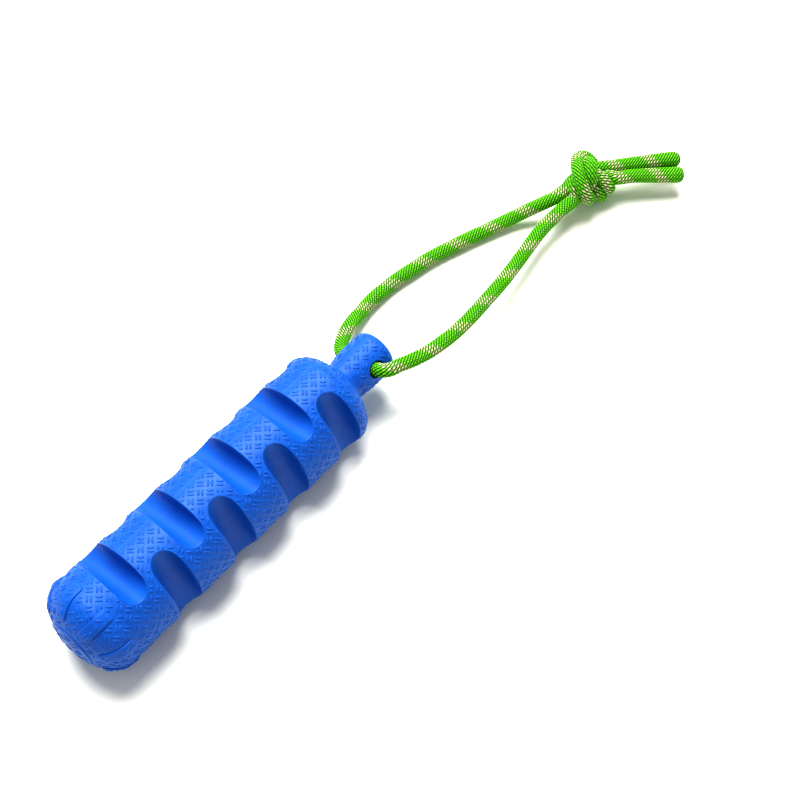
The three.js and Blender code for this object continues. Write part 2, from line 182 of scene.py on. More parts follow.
def fan_faces(rings, columns, turned=False):
    """Triangles that close a tube, from the two points that follow its rings."""
    start, end, last = rings * columns, rings * columns + 1, (rings - 1) * columns
    faces = []
    for j in range(columns):
        k = (j + 1) % columns
        near, far = (j, k) if turned else (k, j)
        faces.append((start, near, far))
        faces.append((end, last + far, last + near))
    return faces


def ring_points(place, radius, first, second, columns):
    """A ring of points about a place, in the plane of two directions."""
    turns = 2 * math.pi * np.arange(columns)[:, None] / columns
    return place + radius * (first * np.cos(turns) + second * np.sin(turns))


def mirrored(profile):
    """A whole profile from its half, which runs outward from the middle."""
    return [(-place, value) for place, value in profile[::-1]] + list(profile)


def round_axis(station, angle, radius, lowest=0.0):
    """Points at angles and radii round the body's axis, none of them under the floor."""
    across, height = -radius * np.sin(angle), AXIS_HEIGHT + radius * np.cos(angle)
    return np.stack(np.broadcast_arrays(station - HALF_LENGTH, across, np.maximum(height, lowest)), 1)


def remade(made, change, crease):
    """Applies a change to a mesh, and keeps as smooth only the edges under a crease angle."""
    shaped = bmesh.new()
    shaped.from_mesh(made.data)
    change(shaped)
    for edge in shaped.edges:
        edge.smooth = edge.calc_face_angle(0) < math.radians(crease)
    shaped.to_mesh(made.data)
    shaped.free()
    return made


def face_outward(shaped):
    bmesh.ops.recalc_face_normals(shaped, faces=shaped.faces)


def add_closed(name, points, faces, material):
    """A mesh object of closed pieces, whose faces all face outward."""
    return remade(add_mesh(name, points, faces, material), face_outward, PIECE_CREASE)


def drop_slivers(shaped):
    bmesh.ops.dissolve_degenerate(shaped, edges=shaped.edges, dist=TINY)


def arc_lengths(points):
    """How far along a line each of its points is."""
    return np.concatenate([[0], np.cumsum(np.linalg.norm(np.diff(points, axis=0), axis=1))])


def ease(share):
    share = np.clip(share, 0, 1)
    return share * share * (3 - 2 * share)


# Materials


class Nodes:
    """A small helper that adds shader nodes and links them."""

    def __init__(self, name):
        self.material = bpy.data.materials.new(name)
        self.material.use_nodes = True
        self.tree = self.material.node_tree
        self.shader = self.tree.nodes["Principled BSDF"]

    def set(self, node, **values):
        for name, value in values.items():
            self.feed(node.inputs[name.replace("_", " ")], value)

    def look(self, **values):
        """Sets the shader's own inputs."""
        self.set(self.shader, **values)

    def add(self, kind, **values):
        node = self.tree.nodes.new(kind)
        self.set(node, **values)
        return node

    def feed(self, socket, value):
        if isinstance(value, bpy.types.NodeSocket):
            self.tree.links.new(value, socket)
        else:
            socket.default_value = value

    def math(self, operation, *values):
        node = self.tree.nodes.new("ShaderNodeMath")
        node.operation = operation
        for socket, value in zip(node.inputs, values):
            self.feed(socket, value)
        return node.outputs[0]

    def mix(self, share, first, second):
        node = self.tree.nodes.new("ShaderNodeMix")
        node.data_type = "RGBA"
        self.feed(node.inputs[0], share)
        self.feed(node.inputs[6], first)
        self.feed(node.inputs[7], second)
        return node.outputs[2]

    def noise(self, scale, detail, roughness):
        """Noise on the object's own coordinates."""
        place = self.add("ShaderNodeTexCoord").outputs["Object"]
        node = self.add(
            "ShaderNodeTexNoise", Vector=place, Scale=scale, Detail=detail, Roughness=roughness,
        )
        return node.outputs["Fac"]

    def ramp(self, value, low, high):
        node = self.add("ShaderNodeMapRange", Value=value, From_Min=low, From_Max=high)
        node.interpolation_type = "SMOOTHSTEP"
        return node.outputs["Result"]

    def bump(self, height, distance, strength):
        node = self.add("ShaderNodeBump", Height=height, Distance=distance, Strength=strength)
        self.look(Normal=node.outputs["Normal"])


def linear(red, green, blue):
    """A screen colour, 0 to 255, as a shader colour."""
    shares = [c / 255 for c in (red, green, blue)]
    return tuple(((c + 0.055) / 1.055) ** 2.4 if c > 0.04045 else c / 12.92 for c in shares) + (1,)


RUBBER_BLUE = (0.003, 0.096, 0.425, 1)
RUBBER_DEEP = (0.0024, 0.084, 0.39, 1)
RUBBER_ROUGHNESS = 0.42
RUBBER_ROUGHNESS_SPAN = 0.14
RUBBER_DIMPLE_SHARE = 0.6
RUBBER_GRAIN_DEPTH = 0.12 * MM

# Noises by their scale, detail and roughness
RUBBER_MOTTLE = (90.0, 3.0, 0.6)
RUBBER_GLOSS = (700.0, 2.0, 0.5)
RUBBER_GRAIN = (1900.0, 3.0, 0.65)
RUBBER_DIMPLES = (420.0, 2.0, 0.5)
YARN_SHADE = (160.0, 2.0, 0.5)
YARN_FUZZ = (3200.0, 2.0, 0.5)
MELTED_STAIN = (900.0, 3.0, 0.5)
MELTED_LUMPS = (1500.0, 3.0, 0.5)
FLOOR_SHADE = (6.0, 2.0, 0.5)


def rubber_material():
    """Foam rubber with a fine skin: slightly mottled, with an uneven half gloss."""
    nodes = Nodes("foam_rubber")
    mottle = nodes.ramp(nodes.noise(*RUBBER_MOTTLE), 0.35, 0.7)
    dimples = nodes.math("MULTIPLY", nodes.noise(*RUBBER_DIMPLES), RUBBER_DIMPLE_SHARE)
    nodes.bump(nodes.math("ADD", nodes.noise(*RUBBER_GRAIN), dimples), RUBBER_GRAIN_DEPTH, 0.6)
    gloss = nodes.noise(*RUBBER_GLOSS)
    nodes.look(
        Base_Color=nodes.mix(mottle, RUBBER_BLUE, RUBBER_DEEP), Specular_IOR_Level=0.28,
        Roughness=nodes.math("MULTIPLY_ADD", gloss, RUBBER_ROUGHNESS_SPAN, RUBBER_ROUGHNESS),
    )
    return nodes.material


ROPE_GREEN = (0.055, 0.33, 0.0, 1)
# Painted highlight: the brighter green that the crests of the floats are coloured
ROPE_HIGHLIGHT = (0.18, 0.55, 0.012, 1)
# Painted shade: the dark green that the gaps between floats are coloured
ROPE_GAP_SHADE = (0.008, 0.07, 0.0, 1)
FLECK = (0.56, 0.56, 0.34, 1)
# Painted shade: the brown that the pale floats darken to where they dip
FLECK_SHADE = (0.1, 0.055, 0.008, 1)
YARN_COUNT = 12
FLECK_YARNS = 4
LEG_PITCH = {"a": 2.12, "b": 2.016}
KNOT_PITCH = {"a": 2.141, "b": 2.13}
TAIL_PITCH = 1.82
LONG_HALF = 0.82
SHORT_HALF = 0.52
THIN_HALF = 0.4
LOWER_YARN = 0.8
# Painted shade: the height range over which the gaps between floats are coloured dark
GAP_SHADE_EDGE = (0.2, 0.66)
# Painted shade: the height range over which the pale floats darken to brown
FLECK_SHADE_EDGE = (0.38, 0.84)
# Painted highlight: the height range over which the crests are coloured brighter, and its share
# against the random yarn tone
CREST_HIGHLIGHT_RANGE = (0.6, 0.95)
HIGHLIGHT_SHARE = 0.75
FIBRE_TURNS = 16.0
FIBRE_SHARE = 0.06
FUZZ_SHARE = 0.5
BRAID_SHARE = 1.6
BRAID_DEPTH = 0.16 * MM


def rope_material():
    """The braid: yarns that wind one way show as long slanting floats, and those that cross
    them as short ones between. Some neighbouring yarns are pale. Its colour holds a painted
    highlight on the crests of the floats, and painted shade in the gaps between them."""
    nodes = Nodes("braided_rope")
    value_of = nodes.math
    lay = nodes.add("ShaderNodeUVMap").outputs["UV"]
    parts = nodes.add("ShaderNodeSeparateXYZ", Vector=lay)
    around, along = parts.outputs["X"], parts.outputs["Y"]

    def near(value, shift):
        return value_of("SUBTRACT", value_of("FRACT", value_of("ADD", value, shift)), 0.5)

    def float_height(side, ahead, length):
        """The dome of one float, and the place across the yarn's own fibres."""
        run = value_of("DIVIDE", value_of("SUBTRACT", side, ahead), length)
        cross = value_of("DIVIDE", value_of("ADD", side, ahead), THIN_HALF)
        flat = value_of("MULTIPLY_ADD", run, run, value_of("MULTIPLY", cross, cross))
        dome = value_of("MAXIMUM", value_of("SUBTRACT", 1.0, flat), 0.0)
        return value_of("SQRT", dome), run

    side, ahead = near(around, 0.0), near(along, 0.5)
    upper, upper_run = float_height(side, ahead, LONG_HALF)
    other_side = near(around, 0.5)
    other_ahead = value_of("MULTIPLY", near(along, 0.0), -1.0)
    lower, lower_run = float_height(other_side, other_ahead, SHORT_HALF)
    lower = value_of("MULTIPLY", lower, LOWER_YARN)
    height = value_of("MAXIMUM", upper, lower)
    on_top = value_of("GREATER_THAN", upper, lower)
    # Painted shade: low places between the floats are coloured dark
    edge = nodes.ramp(height, *GAP_SHADE_EDGE)
    # Painted highlight on the crests of the floats, mixed below with a random yarn tone
    crest_highlight = nodes.ramp(height, *CREST_HIGHLIGHT_RANGE)
    row = value_of("FLOOR", value_of("ADD", along, 0.5))
    turn = value_of("SUBTRACT", value_of("FLOOR", around), row)
    yarn = value_of("FLOORED_MODULO", turn, float(YARN_COUNT))
    pale = value_of("MULTIPLY", value_of("LESS_THAN", yarn, FLECK_YARNS - 0.5), on_top)
    shade = nodes.ramp(nodes.noise(*YARN_SHADE), 0.3, 0.75)
    shade = value_of("MULTIPLY", shade, 1 - HIGHLIGHT_SHARE)
    highlight_and_tone = value_of("MULTIPLY_ADD", crest_highlight, HIGHLIGHT_SHARE, shade)
    green = nodes.mix(edge, ROPE_GAP_SHADE, nodes.mix(highlight_and_tone, ROPE_GREEN, ROPE_HIGHLIGHT))
    # Painted shade: the pale floats darken to brown towards their low edges
    cream = nodes.mix(nodes.ramp(height, *FLECK_SHADE_EDGE), FLECK_SHADE, FLECK)
    fibre_place = value_of("ADD", value_of("MULTIPLY", on_top, upper_run), lower_run)
    fibre = value_of("SINE", value_of("MULTIPLY", fibre_place, FIBRE_TURNS))
    fuzz = value_of("MULTIPLY_ADD", fibre, FIBRE_SHARE, nodes.noise(*YARN_FUZZ))
    fuzz = value_of("MULTIPLY", fuzz, FUZZ_SHARE)
    nodes.bump(value_of("MULTIPLY_ADD", height, BRAID_SHARE, fuzz), BRAID_DEPTH, 0.9)
    nodes.look(
        Base_Color=nodes.mix(pale, green, cream), Roughness=0.55, Specular_IOR_Level=0.25,
    )
    return nodes.material


MELTED_GREEN = linear(52, 120, 18)
MELTED_BROWN = linear(96, 92, 30)
MELTED_LUMP_DEPTH = 0.3 * MM


def melted_material():
    """Rope yarn melted to a smooth, stained lump."""
    nodes = Nodes("melted_end")
    stain = nodes.ramp(nodes.noise(*MELTED_STAIN), 0.35, 0.65)
    nodes.bump(nodes.noise(*MELTED_LUMPS), MELTED_LUMP_DEPTH, 0.7)
    nodes.look(Base_Color=nodes.mix(stain, MELTED_GREEN, MELTED_BROWN), Roughness=0.38)
    return nodes.material


# The rope

CURVE_STEP = 0.25
KINK_LENGTH = 1.2


def smooth_curve(points):
    """Close points along a smooth curve, a centripetal Catmull-Rom one."""
    points = np.asarray(points, float)
    padded = np.vstack([2 * points[0] - points[1], points, 2 * points[-1] - points[-2]])
    out = [points[:1]]
    for i in range(1, len(padded) - 2):
        before, start, end, after = padded[i - 1:i + 3]
        knots = np.cumsum([0] + [
            max(np.linalg.norm(b - a), TINY) ** 0.5
            for a, b in ((before, start), (start, end), (end, after))
        ])
        count = max(2, int(np.linalg.norm(end - start) / CURVE_STEP))
        t = np.linspace(knots[1], knots[2], count + 1)[1:, None]

        def blend(a, b, low, high):
            return a * (high - t) / (high - low) + b * (t - low) / (high - low)

        first = blend(before, start, knots[0], knots[1])
        second = blend(start, end, knots[1], knots[2])
        third = blend(end, after, knots[2], knots[3])
        left = blend(first, second, knots[0], knots[2])
        right = blend(second, third, knots[1], knots[3])
        out.append(blend(left, right, knots[1], knots[2]))
    return np.vstack(out)


def even_curve(points):
    """The same line at even steps, with small kinks smoothed away and its ends kept."""
    gaps = np.linalg.norm(np.diff(points, axis=0), axis=1)
    points = points[np.concatenate([[True], gaps > TINY])]
    reach = arc_lengths(points)
    at = np.linspace(0, reach[-1], int(round(reach[-1] / RING_STEP)) + 1)
    even = np.stack([np.interp(at, reach, points[:, k]) for k in range(3)], 1)
    half = int(3 * KINK_LENGTH / RING_STEP)
    weights = np.exp(-0.5 * (np.arange(-half, half + 1) * RING_STEP / KINK_LENGTH) ** 2)
    weights /= weights.sum()
    start = 2 * even[0] - even[half:0:-1]
    end = 2 * even[-1] - even[-2:-half - 2:-1]
    padded = np.vstack([start, even, end])
    return np.stack([np.convolve(padded[:, k], weights, "valid") for k in range(3)], 1)


def strand_centres(node):
    """The middle of each ring of a knot strand, walked ring by ring from the bumper's side."""
    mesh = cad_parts[node].data
    places = np.array([v.co for v in mesh.vertices]) / MM
    merged, index = np.unique(np.round(places, 3), axis=0, return_inverse=True)
    corners = index.ravel()[np.array([list(p.vertices) for p in mesh.polygons])]
    linked = [set() for _ in merged]
    for triangle in corners:
        for corner in triangle:
            linked[corner].update(triangle)
    normals = np.round([list(p.normal) for p in mesh.polygons], 2) + 0.0
    _, kind, counts = np.unique(normals, axis=0, return_inverse=True, return_counts=True)
    caps = [corners[kind.ravel() == k] for k in np.argsort(-counts)[:2]]
    level = set(min(caps, key=lambda cap: merged[cap.ravel(), 0].mean()).ravel())
    centres, seen = [], set()
    while level:
        centres.append(merged[sorted(level)].mean(axis=0))
        seen |= level
        level = set().union(*(linked[i] for i in level)) - seen
    return np.array(centres)


def toward(point, other):
    return (other - point) / np.linalg.norm(other - point)


def shifted(line, rises):
    """The line moved up or down along the camera's sight lines, so that it looks the same there."""
    reach = arc_lengths(line)
    places, heights = np.array(rises).T
    after = np.clip(np.searchsorted(places, reach), 1, len(places) - 1)
    share = ease((reach - places[after - 1]) / (places[after] - places[after - 1]))
    rise = heights[after - 1] + (heights[after] - heights[after - 1]) * share
    sight = np.array(CAMERA_PLACE) - line
    return line + sight / sight[:, 2:] * rise[:, None]


def rope_line(letter):
    """The middle line of one half of the rope, and how far along it the knot starts and ends.
    The line runs from the middle of the bore, along its leg, through the knot and out along
    its tail."""
    strand = strand_centres("knot_strand_" + letter)
    across = BORE_AXIS * BORE_SIDES[letter] * NECK_REACH
    entry = toward(strand[1], strand[0])
    points = [BORE_PLACE - across / 2, BORE_PLACE, BORE_PLACE + across / 2, BORE_PLACE + across]
    points += list(BORE_PLACE * (1, 0, 0) + np.array(LEG_ROUTES[letter]))
    points += [strand[0] + entry * (FACE_GAP + ROPE_RADIUS), strand[0] + entry * FACE_GAP]
    leg = smooth_curve(points)
    leg = leg[np.argmin(np.linalg.norm(leg - BORE_PLACE, axis=1)):]
    knot = smooth_curve(strand)
    out = toward(strand[-2], strand[-1])
    tip = np.array(TAIL_TIPS[letter]) + BORE_PLACE * (1, 0, 0)
    further = strand[-1] + out * (FACE_GAP + ROPE_RADIUS)
    away = toward(further, tip)
    tail = smooth_curve([strand[-1] + out * FACE_GAP, further, tip - away * ROPE_RADIUS, tip])
    knot_start = arc_lengths(leg)[-1]
    knot_end = knot_start + arc_lengths(knot)[-1]
    return shifted(np.vstack([leg, knot, tail]), RISES[letter]), (knot_start, knot_end)


RING_STEP = 0.335
SHEATH_COLUMNS = 72
YARN_HEIGHT = 0.5
KNOT_RADIUS = 4.15
BORE_ROPE_RADIUS = 3.95
TAIL_ROPE_RADIUS = 4.85
LAY_START = {"a": 9.24, "b": 2.26}
SQUEEZE_LENGTH = 8.0
BORE_SQUEEZE_LENGTH = 60.0
YARN_MIDDLE = 0.7
CONTACT_GAP = 0.06
PRESS_REACH = 2.4 * ROPE_RADIUS
PRESS_COSINE = 0.05
OWN_GAP = 2.6 * ROPE_RADIUS
SOFTEN_ROUNDS = 3
SOFTEN_RISE = 0.05
ROPE_FLOOR_GAP = 0.02


def ring_frames(centres):
    """Two directions square to the line at each point, without twist."""
    tangents = np.gradient(centres, axis=0)
    tangents /= np.linalg.norm(tangents, axis=1)[:, None]
    normal = np.cross(tangents[0], (0, 0, 1))
    normals = [normal / np.linalg.norm(normal)]
    for i in range(1, len(centres)):
        normal = normals[-1] - tangents[i] * np.dot(normals[-1], tangents[i])
        normals.append(normal / np.linalg.norm(normal))
    normals = np.array(normals)
    return tangents, normals, np.cross(tangents, normals)


def thickness(reach, knot):
    """The rope's radius along its length: less where it is pulled tight round the mouth of
    the bore and in the knot, and more where the tails loosen towards their cut ends."""
    inside = np.minimum(reach - knot[0], knot[1] - reach) / SQUEEZE_LENGTH
    radii = ROPE_RADIUS + (KNOT_RADIUS - ROPE_RADIUS) * ease(inside)
    radii = radii + (BORE_ROPE_RADIUS - ROPE_RADIUS) * ease(1 - reach / BORE_SQUEEZE_LENGTH)
    along_tail = (reach - knot[1]) / (reach[-1] - knot[1])
    return radii + (TAIL_ROPE_RADIUS - ROPE_RADIUS) * ease(along_tail)


def yarn_relief(around, along):
    """Height share of the braid's surface, as in its material."""
    def dome(side, ahead, length):
        flat = ((side - ahead) / length) ** 2 + ((side + ahead) / THIN_HALF) ** 2
        return np.sqrt(np.maximum(1 - flat, 0))

    upper = dome(around % 1 - 0.5, (along + 0.5) % 1 - 0.5, LONG_HALF)
    lower = dome((around + 0.5) % 1 - 0.5, 0.5 - along % 1, SHORT_HALF)
    return np.maximum(upper, LOWER_YARN * lower)


def press(directions, centres, radii, others):
    """Shortens each spoke of a ring where another turn of the rope presses on it."""
    limits = np.repeat(radii[:, None], directions.shape[1], 1)
    for i, centre in enumerate(centres):
        offsets = others[i] - centre
        distances = np.linalg.norm(offsets, axis=1)
        close = (distances < PRESS_REACH) & (distances > TINY)
        if not close.any():
            continue
        offsets, distances = offsets[close], distances[close]
        cosines = directions[i] @ (offsets / distances[:, None]).T
        room = (distances / 2 - CONTACT_GAP) / np.maximum(cosines, PRESS_COSINE)
        room = np.where(cosines > PRESS_COSINE, room, np.inf)
        limits[i] = np.minimum(limits[i], room.min(axis=1))
    return limits


def soften(limits):
    """Evens out the pressed faces a little along and round the rope."""
    for _ in range(SOFTEN_ROUNDS):
        wide = (np.roll(limits, 1, 1) + np.roll(limits, -1, 1) + 2 * limits) / 4
        wide[1:-1] = (wide[:-2] + wide[2:] + 2 * wide[1:-1]) / 4
        limits = np.minimum(wide, limits + SOFTEN_RISE)
    return limits


def braid_lay(letter, reach, knot):
    """How many yarns' steps the braid has run along the rope, in its leg, knot and tail."""
    lay = LAY_START[letter] + np.minimum(reach, knot[0]) / LEG_PITCH[letter]
    lay += np.clip(reach - knot[0], 0, knot[1] - knot[0]) / KNOT_PITCH[letter]
    return lay + np.maximum(reach - knot[1], 0) / TAIL_PITCH


def braid_uvs(lay):
    """For each corner of the rope's faces: yarns round the rope, and steps along it."""
    turns = YARN_COUNT / SHEATH_COLUMNS * np.arange(SHEATH_COLUMNS + 1)
    uvs = []
    for low, high in zip(lay[:-1], lay[1:]):
        for here, after in zip(turns[:-1], turns[1:]):
            uvs += [(here, low), (after, low), (after, high), (here, high)]
    return uvs + [(0.5, 0.5)] * (6 * SHEATH_COLUMNS)


def sheath(letter, centres, knot, other, material):
    """One half of the rope as a tube of braided yarns, pressed flat where its turns touch."""
    reach = np.arange(len(centres)) * np.mean(np.linalg.norm(np.diff(centres, axis=0), axis=1))
    tangents, normals, sides = ring_frames(centres)
    angle = np.arange(SHEATH_COLUMNS) * 2 * np.pi / SHEATH_COLUMNS
    directions = normals[:, None] * np.cos(angle)[:, None] + sides[:, None] * np.sin(angle)[:, None]
    others = []
    for place in reach:
        far_on = np.abs(reach - place) > OWN_GAP
        others.append(np.vstack([centres[far_on][::2], other[::2]]))
    limits = soften(press(directions, centres, thickness(reach, knot), others))
    lay = braid_lay(letter, reach, knot)
    relief = yarn_relief(YARN_COUNT * angle[None] / (2 * np.pi), lay[:, None])
    spokes = limits + YARN_HEIGHT * (relief - YARN_MIDDLE)
    points = centres[:, None] + directions * spokes[:, :, None]
    points[:, :, 2] = np.maximum(points[:, :, 2], ROPE_FLOOR_GAP)
    points = np.vstack([points.reshape(-1, 3), centres[:1], centres[-1:]])
    faces = tube_faces(len(centres), SHEATH_COLUMNS) + fan_faces(len(centres), SHEATH_COLUMNS)
    return {
        "piece": add_mesh("rope_" + letter, points, faces, material, braid_uvs(lay)),
        "centres": centres, "length": reach[-1],
        "away": tangents[-1], "first": normals[-1], "second": sides[-1],
    }


def build_rope():
    """Both halves of the rope, each fitted to the other."""
    material = rope_material()
    lines, knots = {}, {}
    for letter in LEG_ROUTES:
        line, knots[letter] = rope_line(letter)
        lines[letter] = even_curve(line)
    return {
        letter: sheath(letter, lines[letter], knots[letter], lines[other], material)
        for letter, other in (("a", "b"), ("b", "a"))
    }


# A melted cut end, from the yarns to its middle: distance beyond the rope's end, and radius
SEAL_PROFILE = (
    (0.28, 3.2), (0.3, 3.8), (0.55, 4.05), (0.9, 4.05), (1.2, 3.8), (1.4, 3.4), (1.45, 2.8),
    (1.38, 2.0), (1.3, 1.2), (1.35, 0.6),
)
SEAL_COLUMNS = 40
SEAL_WAVES = 6
SEAL_UNEVEN_RADIUS = 0.16
SEAL_UNEVEN_RISE = 0.3
SEAL_SIDE_END = 0.8


def build_seal(letter, rope, material):
    """The melted cut end: a low uneven cap with a rolled edge."""
    rng = np.random.default_rng(SEED + ord(letter))
    tip, away = rope["centres"][-1], rope["away"]
    wave = rng.uniform(0, 2 * np.pi, SEAL_WAVES)
    angle = 2 * np.pi * np.arange(SEAL_COLUMNS)[:, None] / SEAL_COLUMNS
    uneven = sum(np.sin((n + 2) * angle + wave[n]) / (n + 2) for n in range(SEAL_WAVES)) / SEAL_WAVES
    points = []
    for depth, radius in SEAL_PROFILE:
        spoke = radius * (1 + SEAL_UNEVEN_RADIUS * uneven)
        rise = depth + (SEAL_UNEVEN_RISE * uneven if depth > SEAL_SIDE_END else 0.0)
        ring = ring_points(tip + away * rise, spoke, rope["first"], rope["second"], SEAL_COLUMNS)
        points.extend(ring)
    points += [tip + away * SEAL_PROFILE[0][0], tip + away * SEAL_PROFILE[-1][0]]
    rings = len(SEAL_PROFILE)
    faces = tube_faces(rings, SEAL_COLUMNS) + fan_faces(rings, SEAL_COLUMNS)
    return add_mesh("melted_end_" + letter, points, faces, material)


# The body

LINE_PLACES = (-0.42, -0.16, 0.0, 0.16, 0.42)
LINE_DEPTHS = (0.0, 0.13, 0.24, 0.13, 0.0)
LAND_LINE_SHARE = 0.45
NECK_LINE_SHARE = 0.7
NECK_LINE_START = 188.0
NECK_LINE_END = 228.0
LINE_START_GAP = 2.0
LINE_FADE = 6.0
LINE_END_FADE = 8.0
FLAT_COLUMNS = 40
FILLET_COLUMNS = 4
GROUP_COLUMNS = 2 * FILLET_COLUMNS - 1 + FLAT_COLUMNS + len(LINE_PLACES)
BODY_COLUMNS = 4 * GROUP_COLUMNS
RIM_ROUND = 0.65
END_FILLET_SHARE = 0.5
ROUND_EDGE_SHARE = 0.965
LAND_STEP = 1.1
SCOOP_SECTIONS = 25
TIP_HOLE_ROUND = 0.8
TIP_HOLE_CORNER = 0.3
TIP_HOLE_BOTTOM_RADII = (0.4, 0.9)
NOSE_STEP = 0.62
NECK_STEP = 0.95
LAND_MARGIN = 0.7
END_RADIUS = 0.8


def flat_shares():
    """Places across a flat, as shares of its half width beyond the parting line's columns."""
    return np.linspace(0, 1, FLAT_COLUMNS // 2 + 1)[1:]


def cut_group(height):
    """Angles and radii across a scoop: a flat, with a fillet to the round at each end."""
    lateral = math.sqrt((BODY_RADIUS - RIM_ROUND) ** 2 - (height - RIM_ROUND) ** 2)
    turn = math.atan2(lateral, height - RIM_ROUND)
    inner = LINE_PLACES[-1]
    right = inner + (lateral - inner) * flat_shares()
    flat = np.concatenate([-right[::-1], LINE_PLACES, right])
    bend = turn * np.arange(1, FILLET_COLUMNS + 1) / FILLET_COLUMNS
    up = height - RIM_ROUND + RIM_ROUND * np.cos(bend)
    out = lateral + RIM_ROUND * np.sin(bend)
    heights = np.concatenate([up[::-1], np.full(len(flat), height), up[:-1]])
    laterals = np.concatenate([-out[::-1], flat, out[:-1]])
    return np.arctan2(laterals, heights), np.hypot(laterals, heights), turn


def round_group(half_turn):
    """Angles and radii across the round between two scoops, column for column as a cut group."""
    inner = LINE_PLACES[-1] / BODY_RADIUS
    edge = half_turn * ROUND_EDGE_SHARE
    right = inner + (edge - inner) * flat_shares()
    flat = np.concatenate([-right[::-1], np.array(LINE_PLACES) / BODY_RADIUS, right])
    bend = edge + (half_turn - edge) * np.arange(1, FILLET_COLUMNS + 1) / FILLET_COLUMNS
    angles = np.concatenate([-bend[::-1], flat, bend[:-1]])
    return angles, np.full(len(angles), BODY_RADIUS)


def band_row(parity, height):
    """All angles and radii of one section through a band of scoops."""
    cut_angles, cut_radii, turn = cut_group(height)
    round_angles, round_radii = round_group(math.pi / 2 - turn)
    angles, radii = [], []
    for group in range(4):
        middle = math.radians(SCOOP_ROW_ROLL + 90 * group)
        is_cut = group % 2 == parity
        angles.append(middle + (cut_angles if is_cut else round_angles))
        radii.append(cut_radii if is_cut else round_radii)
    return np.concatenate(angles), np.concatenate(radii)


def body_rows():
    """Sections along the body: stations, angles and radii, each an array over the columns."""
    rows = []

    def add(station, angles, radius):
        shape = np.ones(BODY_COLUMNS)
        rows.append((station * shape, angles, radius * shape))

    previous, _ = band_row(0, SCOOP_BEND)
    for station, radius in tip_hole_outline() + nose_outline():
        add(station, previous, radius)
    start = NOSE_DEPTH
    for scoop, centre in enumerate(SCOOP_STATIONS):
        angles, edge_radii = band_row(scoop % 2, SCOOP_BEND)
        end = centre - SCOOP_HALF_WIDTH - RIM_ROUND
        steps = int(round((end - start) / LAND_STEP))
        for i in range(1, steps):
            share = i / steps
            turned = previous + (angles - previous) * ease(share)
            add(start + (end - start) * share, turned, BODY_RADIUS)
        rim = rim_rows(edge_radii)
        for offset, radii in rim:
            add(centre - SCOOP_HALF_WIDTH - offset, angles, radii)
        for turn in np.linspace(-math.pi / 2, math.pi / 2, SCOOP_SECTIONS):
            height = SCOOP_BEND - SCOOP_HALF_WIDTH * math.cos(turn)
            add(centre + SCOOP_HALF_WIDTH * math.sin(turn), *band_row(scoop % 2, height))
        for offset, radii in rim[::-1]:
            add(centre + SCOOP_HALF_WIDTH + offset, angles, radii)
        previous, start = angles, centre + SCOOP_HALF_WIDTH + RIM_ROUND
    for station, radius in neck_outline():
        add(station, previous, radius)
    return rows


def rim_rows(edge_radii):
    """The rounded rim of a scoop's end wall, which thins out where the wall ends."""
    fillet = np.minimum(RIM_ROUND, END_FILLET_SHARE * (BODY_RADIUS - edge_radii))
    rows = []
    for turn in np.radians([0, 22.5, 45, 67.5, 90]):
        rows.append((fillet * (1 - math.sin(turn)), BODY_RADIUS - fillet * (1 - math.cos(turn))))
    return rows


def resampled(stations, radii, step):
    """The same outline at even steps, as pairs of a station and a radius."""
    reach = arc_lengths(np.stack([stations, radii], 1))
    at = np.linspace(0, reach[-1], int(round(reach[-1] / step)) + 1)
    return [(float(np.interp(t, reach, stations)), float(np.interp(t, reach, radii))) for t in at]


def tip_hole_outline():
    """Stations and radii from the bottom of the tip hole to its rounded mouth."""
    points = [(TIP_HOLE_DEPTH, radius) for radius in TIP_HOLE_BOTTOM_RADII]
    points.append((TIP_HOLE_DEPTH - TIP_HOLE_CORNER, TIP_HOLE_RADIUS))
    points += [(TIP_HOLE_DEPTH * share, TIP_HOLE_RADIUS) for share in (0.75, 0.5, 0.25)]
    for turn in np.radians([0, 30, 60, 90]):
        station = TIP_HOLE_ROUND * (1 - math.sin(turn))
        points.append((station, TIP_HOLE_RADIUS + TIP_HOLE_ROUND * (1 - math.cos(turn))))
    return points


def nose_outline():
    """Stations and radii from the flat of the tip to the end of the nose."""
    turns = np.linspace(math.asin(TIP_FLAT_RADIUS / BODY_RADIUS), math.pi / 2, 200)
    return resampled(NOSE_DEPTH * (1 - np.cos(turns)), BODY_RADIUS * np.sin(turns), NOSE_STEP)


# Where the round of the shoulder runs into the fillet at the root of the neck
ROOT_TURN = math.acos((NECK_ROOT_RADIUS / BODY_RADIUS) ** (1 / SHOULDER_POWER))
ROOT_STATION = BODY_LENGTH - SHOULDER_DEPTH * (1 - math.sin(ROOT_TURN) ** SHOULDER_POWER)


def neck_outline():
    """Stations and radii from the last scoop over the shoulder to the end of the neck."""
    shoulder = np.linspace(0, ROOT_TURN, 160)
    quarter = np.linspace(0, math.pi / 2, 20)
    swell = np.linspace(0, 1, 30)[1:]
    waist = ROOT_STATION + NECK_ROOT_FILLET
    stations = np.concatenate([
        [SCOOP_STATIONS[-1] + SCOOP_HALF_WIDTH + RIM_ROUND + LAND_MARGIN],
        BODY_LENGTH - SHOULDER_DEPTH * (1 - np.sin(shoulder) ** SHOULDER_POWER),
        ROOT_STATION + NECK_ROOT_FILLET * (1 - np.cos(quarter[1:])),
        waist + (NECK_SWELL_STATION - waist) * swell,
        OVERALL_LENGTH - NECK_END_ROUND * (1 - np.sin(quarter)),
        [OVERALL_LENGTH],
    ])
    radii = np.concatenate([
        [BODY_RADIUS],
        BODY_RADIUS * np.cos(shoulder) ** SHOULDER_POWER,
        NECK_ROOT_RADIUS - NECK_ROOT_FILLET * np.sin(quarter[1:]),
        NECK_WAIST_RADIUS + (NECK_RADIUS - NECK_WAIST_RADIUS) * ease(swell),
        NECK_RADIUS - NECK_END_ROUND * (1 - np.cos(quarter)),
        [END_RADIUS],
    ])
    return resampled(stations, radii, NECK_STEP)


